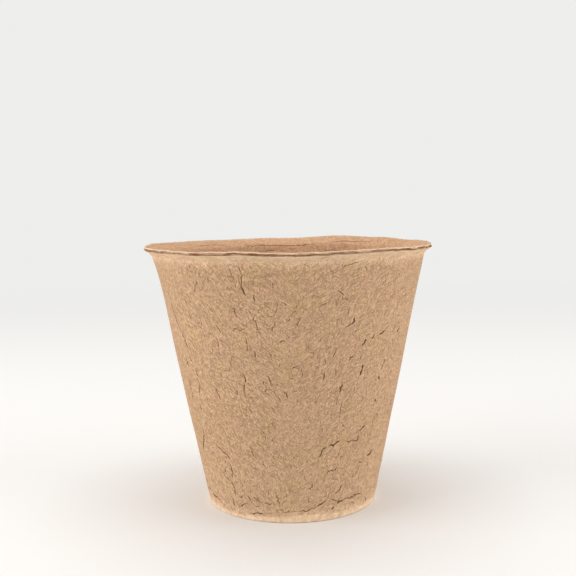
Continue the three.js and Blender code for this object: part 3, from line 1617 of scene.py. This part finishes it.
    def group(self, tree: bpy.types.NodeTree, place: Socket) -> bpy.types.NodeOutputs:
        """Places a shared group, which reads a place, and gives its outputs."""
        return self.feed_all(self.add("ShaderNodeGroup", node_tree=tree), {"Place": place}).outputs


class EffectGroup:
    """A shader node group under way, which reads a place and gives values."""

    def __init__(self, name: str) -> None:
        """Starts the group.

        Args:
            name: Name of the group.
        """
        self.tree = bpy.data.node_groups.new(name, "ShaderNodeTree")
        self.tree.interface.new_socket("Place", in_out="INPUT", socket_type="NodeSocketVector")
        self.pen = NodePen(self.tree)
        self.place = self.pen.add("NodeGroupInput").outputs["Place"]

    def close(self, **values: Socket) -> bpy.types.NodeTree:
        """Gives each value an output of its own.

        Args:
            **values: Each output's name and value.

        Returns:
            The finished group.
        """
        for label in values:
            self.tree.interface.new_socket(label, in_out="OUTPUT", socket_type="NodeSocketFloat")
        self.pen.feed_all(self.pen.add("NodeGroupOutput"), values)
        return self.tree


class PulpEffects:
    """The shader node groups that all of the pot's finishes share."""

    # Strokes, each as its size and lean, drawn out and bent, with half the width of the gap that each shows,
    # and the place of the pale edge beside it in half-widths
    STROKES = ((0.7 * MM, 0.0), (0.56 * MM, 0.5), (0.5 * MM, 1.4), (0.56 * MM, -0.5), (0.5 * MM, -1.4))
    STROKE_STRETCH = 3.4
    STROKE_BEND = 0.3
    STROKE_REACH = 0.028 * MM
    EDGE_PLACE = 1.3

    # A noise of smaller size shows strokes in pieces, and leaning ones are weaker across the front's middle
    SHOWN_SIZE = 0.7
    SHOWN = (0.44, 0.62)
    ACROSS_MIDDLE = 0.5

    # Finest grain and clumps, and what each effect adds to the height
    GRAIN_SIZE = 0.18 * MM
    GRAIN_STRETCH = 1.9
    CLUMP_SIZE = 0.9 * MM
    FIBRE_BEND = 0.8
    GRAIN_HEIGHT = 0.5
    CLUMP_HEIGHT = 0.1
    PALE_HEIGHT = 0.3
    DARK_HEIGHT = -0.6

    # Tears along the edges of strayed cells
    WANDER_SIZE = 2.2 * MM
    WANDER_REACH = 2.4 * MM
    TEAR_STRETCH = (1.0, 1.0, 2.0)
    TEAR_CELL = 3.4 * MM
    TEAR_WIDTH = 0.028
    TEAR_SHOWN = (0.58, 0.66)

    # Patches, tints, pits and streaks
    PATCH_SIZE = 9.0 * MM
    TINT_SIZE = 3.6 * MM
    TINT_STRETCH = (1.0, 1.0, 1.3)
    TINT_SHIFT = (0.05, 0.02, 0.03)
    PIT_CELL = 1.5 * MM
    PIT_EDGE = (0.1, 0.24)
    PIT_GROUP = 3.0 * MM
    PIT_SHOWN = (0.5, 0.62)
    STREAK_SIZE = 0.32 * MM
    STREAK_STRETCH = (11.0, 11.0, 1.0)

    def __init__(self) -> None:
        """Builds each group once."""
        self.fibres = self._fibres()
        self.tears = self._tears()
        self.clouds = self._clouds()

    def _fibres(self) -> bpy.types.NodeTree:
        """Builds short strokes in the felt, laid several ways, with dark gaps and a pale edge beside each.

        Returns:
            The group, which also gives the finest grain and the felt's height.
        """
        group = EffectGroup("pulp_fibres")
        pen, place = group.pen, group.place
        on_right = pen.ease(pen.part(place, "X"), -FAN_BLEND, FAN_BLEND)
        on_left = pen.math("SUBTRACT", 1.0, on_right)
        dark, pale = 0.0, 0.0
        for size, lean in self.STROKES:
            stroke = pen.stroked(place, lean, self.STROKE_STRETCH)
            level = pen.math("SUBTRACT", pen.noise(stroke, size, detail=1.0, bend=self.STROKE_BEND), 0.5)
            shown = pen.ease(pen.noise(stroke, self.SHOWN_SIZE * size, detail=0.5), *self.SHOWN)
            if lean:
                own_side = on_left if lean > 0.0 else on_right
                shown = pen.times(shown, pen.ease(own_side, 0.0, 1.0, self.ACROSS_MIDDLE, 1.0))
            reach = self.STROKE_REACH / size
            dark = pen.math("MAXIMUM", dark, pen.times(pen.ridge(level, 0.0, reach), shown))
            edge = pen.ridge(level, self.EDGE_PLACE * reach, reach)
            pale = pen.math("MAXIMUM", pale, pen.times(edge, shown))
        sides = {0: on_right}
        for socket, lean in ((2, FAN_LEAN), (3, -FAN_LEAN)):
            stroke = pen.stroked(place, lean, self.GRAIN_STRETCH)
            sides[socket] = pen.noise(stroke, self.GRAIN_SIZE, bend=self.FIBRE_BEND)
        grain = pen.feed_all(pen.add("ShaderNodeMix", data_type="FLOAT"), sides).outputs[0]
        clump = pen.noise(place, self.CLUMP_SIZE, detail=1.0, bend=self.FIBRE_BEND)
        height = pen.times(grain, self.GRAIN_HEIGHT)
        others = ((clump, self.CLUMP_HEIGHT), (pale, self.PALE_HEIGHT), (dark, self.DARK_HEIGHT))
        for effect, share in others:
            height = pen.math("ADD", height, pen.times(effect, share))
        return group.close(Pale=pale, Dark=dark, Grain=grain, Height=height)

    def _tears(self) -> bpy.types.NodeTree:
        """Builds hair-thin tears, broken into short pieces that mostly run up and down.

        Returns:
            The group.
        """
        group = EffectGroup("pulp_tears")
        pen, place = group.pen, group.place
        inputs = {"Vector": place, "Scale": 1.0 / self.WANDER_SIZE, "Detail": 2.0}
        wander = pen.feed_all(pen.add("ShaderNodeTexNoise"), inputs)
        push = pen.add("ShaderNodeVectorMath", operation="SCALE")
        pen.feed_all(push, {0: wander.outputs["Color"], "Scale": self.WANDER_REACH})
        strayed = pen.add("ShaderNodeVectorMath", operation="ADD")
        pen.feed_all(strayed, {0: place, 1: push.outputs["Vector"]})
        drawn_out = pen.stretched(strayed.outputs["Vector"], self.TEAR_STRETCH)
        edge = pen.cells(drawn_out, self.TEAR_CELL, "DISTANCE_TO_EDGE")
        line = pen.ease(edge, 0.0, self.TEAR_WIDTH, 1.0, 0.0)
        broken = pen.ease(pen.noise(place, self.WANDER_SIZE, detail=1.0), *self.TEAR_SHOWN)
        return group.close(Tear=pen.times(line, broken))

    def _clouds(self) -> bpy.types.NodeTree:
        """Builds broad patches, tinted ones, fine pits, and streaks that run round.

        Returns:
            The group.
        """
        group = EffectGroup("pulp_clouds")
        pen, place = group.pen, group.place
        patch = pen.noise(place, self.PATCH_SIZE, detail=3.0, bend=0.4)
        pit = pen.ease(pen.cells(place, self.PIT_CELL, "F1"), *self.PIT_EDGE, 1.0, 0.0)
        some = pen.ease(pen.noise(place, self.PIT_GROUP), *self.PIT_SHOWN)
        aside = pen.stretched(place, self.TINT_STRETCH, shift=self.TINT_SHIFT)
        tint = pen.noise(aside, self.TINT_SIZE, detail=2.0, bend=0.4)
        level = pen.stretched(place, self.STREAK_STRETCH)
        streak = pen.noise(level, self.STREAK_SIZE, detail=1.0, bend=0.2)
        return group.close(Patch=patch, Tint=tint, Pit=pen.times(pit, some), Streak=streak)


@dataclass(frozen=True)
class PulpFinish:
    """How one zone's pulp looks.

    Attributes:
        name: Name of the material.
        body: Main colour.
        pale: Colour of the fibres on top, and of the painted highlights beside creases.
        dark: Colour of the gaps between fibres, and of the painted shade in the felt's hollows.
        crease: Colour of the painted shade down in a crease and along the hair-thin tears.
        inside: Colour of the inside, painted paler than the body to lift the shade that falls inside the pot.
        pressed_and_lit: Colour where the pulp was pressed, paler with painted bounce light.
        painted_highlight: Colour of the painted highlights on the edge that the pot stands on and at the lip.
        trimmed: Colour of the trimmed edge.
        ruddy: Colour of the patches that dried redder.
        straw: Colour of the patches that dried yellower.
        fleck: How strongly the pale fibres show.
        gap: How strongly the dark gaps between fibres show.
        grain: How strongly the finest grain shows.
        tear: How strongly the hair-thin tears show, as painted shade.
        bump: Height of the fibres, in metres.
        roughness: Least and greatest roughness.
        specular: How strongly the pulp shines.
    """

    name: str
    body: Colour = (205, 167, 131)
    pale: Colour = (226, 195, 166)
    dark: Colour = (143, 106, 66)
    crease: Colour = (108, 60, 6)
    inside: Colour = (237, 187, 147)
    pressed_and_lit: Colour = (252, 218, 182)
    painted_highlight: Colour = (253, 230, 199)
    trimmed: Colour = (144, 103, 73)
    ruddy: Colour = (210, 163, 136)
    straw: Colour = (203, 169, 120)
    fleck: float = 0.25
    gap: float = 0.66
    grain: float = 0.38
    tear: float = 0.35
    bump: float = 0.19 * MM
    roughness: tuple[float, float] = (0.82, 0.97)
    specular: float = 0.2

    # How smooth the inside is, where pressing starts to hide the felt, and how much of the felt it leaves
    INSIDE_SMOOTH = 0.4
    HIDING = (0.15, 1.0)
    LEAST_FELT = 0.28

    # Where a crease's painted shade ends and the painted highlights on its raised lips stand, in half-widths,
    # and how strong those highlights are
    LINE = (0.3, 1.95)
    LIP_PLACE = 2.9
    LIP_HIGHLIGHT = 0.45

    # Ranges of the effects, and how strongly the weaker ones show
    STREAKS = (0.4, 0.58)
    LEAST_STREAK = 0.25
    PATCHES = (0.35, 0.7)
    PATCH_PALE = 0.04
    RUDDY_TINT = (0.5, 0.68)
    RUDDY_SHARE = 0.32
    STRAW_TINT = (0.5, 0.32)
    STRAW_SHARE = 0.36
    # Painted shade in the felt's hollows, by its height
    SHADED_HOLLOWS = (0.35, 0.6)
    HOLLOW_SHADE = 0.04
    DARK_GRAIN = (0.34, 0.5)
    PALE_GRAIN = (0.5, 0.66)
    PALE_GRAIN_SHARE = 0.65
    PIT_DARK = 0.25
    PIT_DEPTH = 0.6
    ROUGH_HEIGHTS = (0.2, 1.0)

    def make(self, effects: PulpEffects) -> bpy.types.Material:
        """Builds the material.

        Args:
            effects: The node groups that the finishes share.

        Returns:
            The material.
        """
        material = bpy.data.materials.new(self.name)
        material.use_nodes = True
        pen = NodePen(material.node_tree)
        shader = material.node_tree.nodes["Principled BSDF"]
        place = pen.add("ShaderNodeTexCoord").outputs["Object"]
        fibres = pen.group(effects.fibres, place)
        clouds = pen.group(effects.clouds, place)
        mark = {name: pen.attribute(name) for name in Relief.MARKS}
        smooth = pen.math("MAXIMUM", mark["pressed_and_lit"], pen.times(mark["inside"], self.INSIDE_SMOOTH))
        felted = pen.ease(smooth, *self.HIDING, 1.0, self.LEAST_FELT)
        tear = pen.times(pen.group(effects.tears, place)["Tear"], felted, self.tear)
        streaky = pen.ease(clouds["Streak"], *self.STREAKS, self.LEAST_STREAK, 1.0)
        beside = pen.math("ABSOLUTE", mark["across"])
        # Painted shade down each crease
        crease = pen.times(pen.ease(beside, *self.LINE, 1.0, 0.0), mark["crease"])
        # Painted highlights on the raised lips beside each crease
        crease_lip_highlight = pen.times(pen.ridge(beside, self.LIP_PLACE, 1.0, self.LIP_HIGHLIGHT), mark["crease"])
        dark_grain = pen.ease(fibres["Grain"], *self.DARK_GRAIN, self.grain, 0.0)
        pale_grain = pen.ease(fibres["Grain"], *self.PALE_GRAIN, 0.0, self.PALE_GRAIN_SHARE * self.grain)
        layers = (
            # The inside, painted paler to lift the shade that falls inside the pot
            (mark["inside"], self.inside),
            # Pale pressed pulp with painted bounce light at the heel, and painted bounce light under the lip
            (mark["pressed_and_lit"], self.pressed_and_lit),
            # Painted highlights on the standing edge and at the lip
            (mark["painted_highlight"], self.painted_highlight),
            (pen.ease(clouds["Patch"], *self.PATCHES, 0.0, self.PATCH_PALE), self.pale),
            (pen.ease(clouds["Tint"], *self.RUDDY_TINT, 0.0, self.RUDDY_SHARE), self.ruddy),
            (pen.ease(clouds["Tint"], *self.STRAW_TINT, 0.0, self.STRAW_SHARE), self.straw),
            # Painted shade in the felt's hollows
            (pen.ease(mark["lump"], *self.SHADED_HOLLOWS, self.HOLLOW_SHADE, 0.0), self.dark),
            (pen.times(felted, dark_grain), self.dark),
            (pen.times(felted, pale_grain), self.pale),
            (pen.times(felted, fibres["Pale"], self.fleck), self.pale),
            (pen.times(felted, fibres["Dark"], self.gap), self.dark),
            (pen.times(felted, clouds["Pit"], self.PIT_DARK), self.dark),
            (pen.times(mark["trimmed"], streaky), self.trimmed),
            # Painted highlights on the raised lips beside the creases
            (crease_lip_highlight, self.pale),
            # Painted shade in the creases and the hair-thin tears
            (pen.math("MAXIMUM", tear, crease), self.crease),
        )
        colour = paint(*self.body)
        for share, layer in layers:
            colour = pen.mix(share, colour, paint(*layer))
        roughness = pen.ease(fibres["Height"], *self.ROUGH_HEIGHTS, *self.roughness[::-1])
        height = pen.math("SUBTRACT", fibres["Height"], tear)
        height = pen.math("SUBTRACT", height, pen.times(clouds["Pit"], self.PIT_DEPTH))
        bump = pen.feed_all(pen.add("ShaderNodeBump"), {"Distance": self.bump, "Height": height})
        pen.feed_all(shader, {"Base Color": colour, "Roughness": roughness})
        pen.feed_all(shader, {"Normal": bump.outputs["Normal"], "Specular IOR Level": self.specular})
        return material


# Zones of the pot


@dataclass
class PulpZone:
    """One formed zone of the moulding, spun from its stretch of the outline.

    Attributes:
        zone: The zone, which names the CAD node that it replaces.
        slot: The record's material slot, not used.
        finish: How its pulp looks.
        steps_around: Steps of the spin.
        cuts: For each cut, the distance from a crease within which it is made, and the crease's least depth.
        merge: Points closer than this become one, in metres.
        corner: Corners sharper than this stay sharp, in radians.
    """

    zone: Zone
    slot: str
    finish: PulpFinish
    steps_around: int = 320
    cuts: tuple[tuple[float, float], ...] = (
        (0.55 * MM, 0.0),
        (0.32 * MM, 0.16 * MM),
        (0.2 * MM, 0.35 * MM),
    )
    merge: float = 0.001 * MM
    corner: float = math.radians(62)

    def build(self, outline: PotOutline, relief: Relief, effects: PulpEffects) -> bpy.types.Object:
        """Builds, felts and dresses the zone, and sets it on the pot's body.

        Args:
            outline: The bare pot.
            relief: What felts the shell.
            effects: The node groups that the finishes share.

        Returns:
            The finished piece.
        """
        loop = outline.stretch(self.zone)
        piece = self._spin(loop)
        for reach, least_depth in self.cuts:
            self._cut_finer(piece, relief.creases, reach, least_depth)
        relief.shape(piece.data, loop)
        self._smooth(piece)
        piece.data.materials.append(self.finish.make(effects))
        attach(piece, "root")
        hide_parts(self.zone.value)
        return piece

    def _spin(self, loop: Sequence[Station]) -> bpy.types.Object:
        """Spins a loop of stations about the pot's axis into a closed shell.

        Args:
            loop: The stations.

        Returns:
            The bare piece.
        """
        bpy.ops.object.select_all(action="DESELECT")
        bpy.ops.mesh.primitive_circle_add(vertices=len(loop), fill_type="NOTHING")
        piece = bpy.context.object
        piece.name = f"pulp_{self.zone.value}"
        for vertex, station in zip(piece.data.vertices, loop):
            vertex.co = (0.0, station.radius, station.height)
        bpy.ops.object.mode_set(mode="EDIT")
        bpy.ops.mesh.select_all(action="SELECT")
        bpy.ops.mesh.spin(steps=self.steps_around, angle=2.0 * math.pi, center=(0, 0, 0), axis=(0, 0, 1))
        bpy.ops.mesh.select_all(action="SELECT")
        bpy.ops.mesh.remove_doubles(threshold=self.merge)
        bpy.ops.mesh.normals_make_consistent(inside=False)
        bpy.ops.object.mode_set(mode="OBJECT")
        return piece

    @staticmethod
    def _cut_finer(
        piece: bpy.types.Object, creases: CreaseField, reach: float, least_depth: float
    ) -> None:
        """Halves the faces that lie near a crease.

        Args:
            piece: The bare piece.
            creases: The creases of the whole pot.
            reach: Distance from a crease within which faces are halved, in metres.
            least_depth: Least depth of such a crease, in metres.
        """
        bpy.context.tool_settings.mesh_select_mode = (False, False, True)
        bpy.ops.object.mode_set(mode="EDIT")
        bpy.ops.mesh.select_all(action="DESELECT")
        bpy.ops.object.mode_set(mode="OBJECT")
        for face in piece.data.polygons:
            face.select = creases.is_near(face.center, reach, least_depth)
        bpy.ops.object.mode_set(mode="EDIT")
        bpy.ops.mesh.subdivide(number_cuts=1, ngon=False)
        bpy.ops.object.mode_set(mode="OBJECT")

    def _smooth(self, piece: bpy.types.Object) -> None:
        """Shades the piece smooth, apart from the corners where it meets the next zone.

        Args:
            piece: The felted piece.
        """
        bpy.ops.object.select_all(action="DESELECT")
        piece.select_set(True)
        bpy.context.view_layer.objects.active = piece
        bpy.ops.object.shade_smooth_by_angle(angle=self.corner)


# Studio


@dataclass(frozen=True)
class SoftBox:
    """A soft lamp that looks at the pot.

    Attributes:
        name: Name of the lamp.
        place: Where it hangs, in metres.
        size: Width and height, in metres.
        power: Power, in watts.
    """

    name: str
    place: Triple
    size: tuple[float, float]
    power: float

    def add(self, target: Vector) -> None:
        """Hangs the lamp and turns it to a point.

        Args:
            target: The point.
        """
        bpy.ops.object.light_add(type="AREA", location=self.place)
        lamp = bpy.context.object
        lamp.name = self.name
        lamp.data.shape = "RECTANGLE"
        lamp.data.size, lamp.data.size_y = self.size
        lamp.data.energy = self.power
        lamp.rotation_mode = "QUATERNION"
        lamp.rotation_quaternion = (target - Vector(self.place)).to_track_quat("-Z", "Y")


@dataclass
class Studio:
    """Pale floor that fades into a pale backdrop, soft lamps and an even surround.

    Attributes:
        floor_colour: Colour of the floor.
        floor_roughness: Roughness of the floor.
        backdrop: Colour that the camera sees beyond the floor.
        surround: Colour of the light from all round.
        surround_strength: Strength of that light.
        floor_size: Width of the floor, in metres.
        floor_drop: How far the floor lies below the pot's underside, so that they don't share a plane.
        fade: Distances from the pot between which the floor fades into the backdrop, in metres.
        lamps: The soft lamps.
    """

    floor_colour: Colour = (233, 231, 227)
    floor_roughness: float = 0.8
    backdrop: Colour = (238, 238, 236)
    surround: Colour = (250, 250, 252)
    surround_strength: float = 0.64
    floor_size: float = 6.0
    floor_drop: float = 0.02 * MM
    fade: Fade = (0.16, 0.7)
    lamps: tuple[SoftBox, ...] = (
        SoftBox("left_softbox", (-0.75, -0.25, 0.22), (0.7, 0.4), 5.0),
        SoftBox("right_softbox", (0.8, -0.2, 0.17), (0.7, 0.3), 4.35),
        SoftBox("top_softbox", (0.0, 0.1, 0.95), (0.9, 0.9), 3.8),
    )

    def build(self, target: Vector) -> None:
        """Sets up the floor, the lamps and the surround.

        Args:
            target: Point that the lamps look at.
        """
        self._floor()
        self._surround()
        for lamp in self.lamps:
            lamp.add(target)

    @staticmethod
    def _seen(pen: NodePen) -> Socket:
        """Finds where the camera looks, straight or by a mirror or glass.

        Args:
            pen: Pen of the tree that asks.

        Returns:
            1 for what the camera sees, and 0 for light on the pot.
        """
        path = pen.add("ShaderNodeLightPath").outputs
        by_mirror = pen.math("MAXIMUM", path["Is Glossy Ray"], path["Is Transmission Ray"])
        return pen.math("MAXIMUM", path["Is Camera Ray"], by_mirror)

    def _surround(self) -> None:
        """Lights the pot evenly from all round, and shows the backdrop to the camera."""
        world = bpy.data.worlds.new("surround")
        world.use_nodes = True
        pen = NodePen(world.node_tree)
        light = world.node_tree.nodes["Background"]
        pen.feed_all(light, {"Color": paint(*self.surround), "Strength": self.surround_strength})
        shown = pen.feed_all(pen.add("ShaderNodeBackground"), {"Color": paint(*self.backdrop)})
        either = pen.mix_shaders(self._seen(pen), light.outputs[0], shown.outputs[0])
        pen.feed(world.node_tree.nodes["World Output"].inputs["Surface"], either)
        bpy.context.scene.world = world

    def _floor(self) -> None:
        """Lays the floor, which keeps the pot's shadow and fades out with distance."""
        bpy.ops.object.select_all(action="DESELECT")
        bpy.ops.mesh.primitive_plane_add(size=self.floor_size, location=(0.0, 0.0, -self.floor_drop))
        floor = bpy.context.object
        floor.name = "studio_floor"
        material = bpy.data.materials.new("pale_floor")
        material.use_nodes = True
        pen = NodePen(material.node_tree)
        shader = material.node_tree.nodes["Principled BSDF"]
        pen.feed_all(shader, {"Base Color": paint(*self.floor_colour), "Roughness": self.floor_roughness})
        far = pen.add("ShaderNodeVectorMath", operation="LENGTH")
        pen.feed(far.inputs[0], pen.add("ShaderNodeTexCoord").outputs["Object"])
        shown = pen.feed_all(pen.add("ShaderNodeEmission"), {"Color": paint(*self.backdrop)})
        faded = pen.times(self._seen(pen), pen.ease(far.outputs["Value"], *self.fade))
        either = pen.mix_shaders(faded, shader.outputs[0], shown.outputs[0])
        pen.feed(material.node_tree.nodes["Material Output"].inputs["Surface"], either)
        floor.data.materials.append(material)


ZONES = (
    PulpZone(Zone.FLOOR, "floor_pulp", PulpFinish("felted_floor")),
    PulpZone(Zone.HEEL, "heel_pulp", PulpFinish("pressed_and_lit_heel", gap=0.55, tear=0.3)),
    PulpZone(Zone.WALL, "wall_pulp", PulpFinish("felted_wall")),
    PulpZone(Zone.RIM, "rim_pulp", PulpFinish("trimmed_rim", tear=0.3)),
)


def main() -> None:
    """Builds the scene in order and reports each piece."""
    logging.basicConfig(level=logging.INFO, format="%(name)s: %(message)s")
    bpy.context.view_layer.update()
    bpy.context.scene.view_settings.view_transform = "Standard"
    LOG.info("frame of %d nodes", len(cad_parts))
    camera = PhotoCamera()
    camera.add()
    outline = PotOutline()
    creases = CreaseMaker(outline, camera, random.Random(SEED)).all()
    LOG.info("%d creases", len(creases))
    relief = Relief(outline, CreaseField(creases))
    effects = PulpEffects()
    for zone in ZONES:
        piece = zone.build(outline, relief, effects)
        piece.data.calc_loop_triangles()
        LOG.info("%s: %d triangles", piece.name, len(piece.data.loop_triangles))
    Studio().build(Vector((0.0, 0.0, outline.height / 2.0)))


if __name__ == "__main__":
    main()
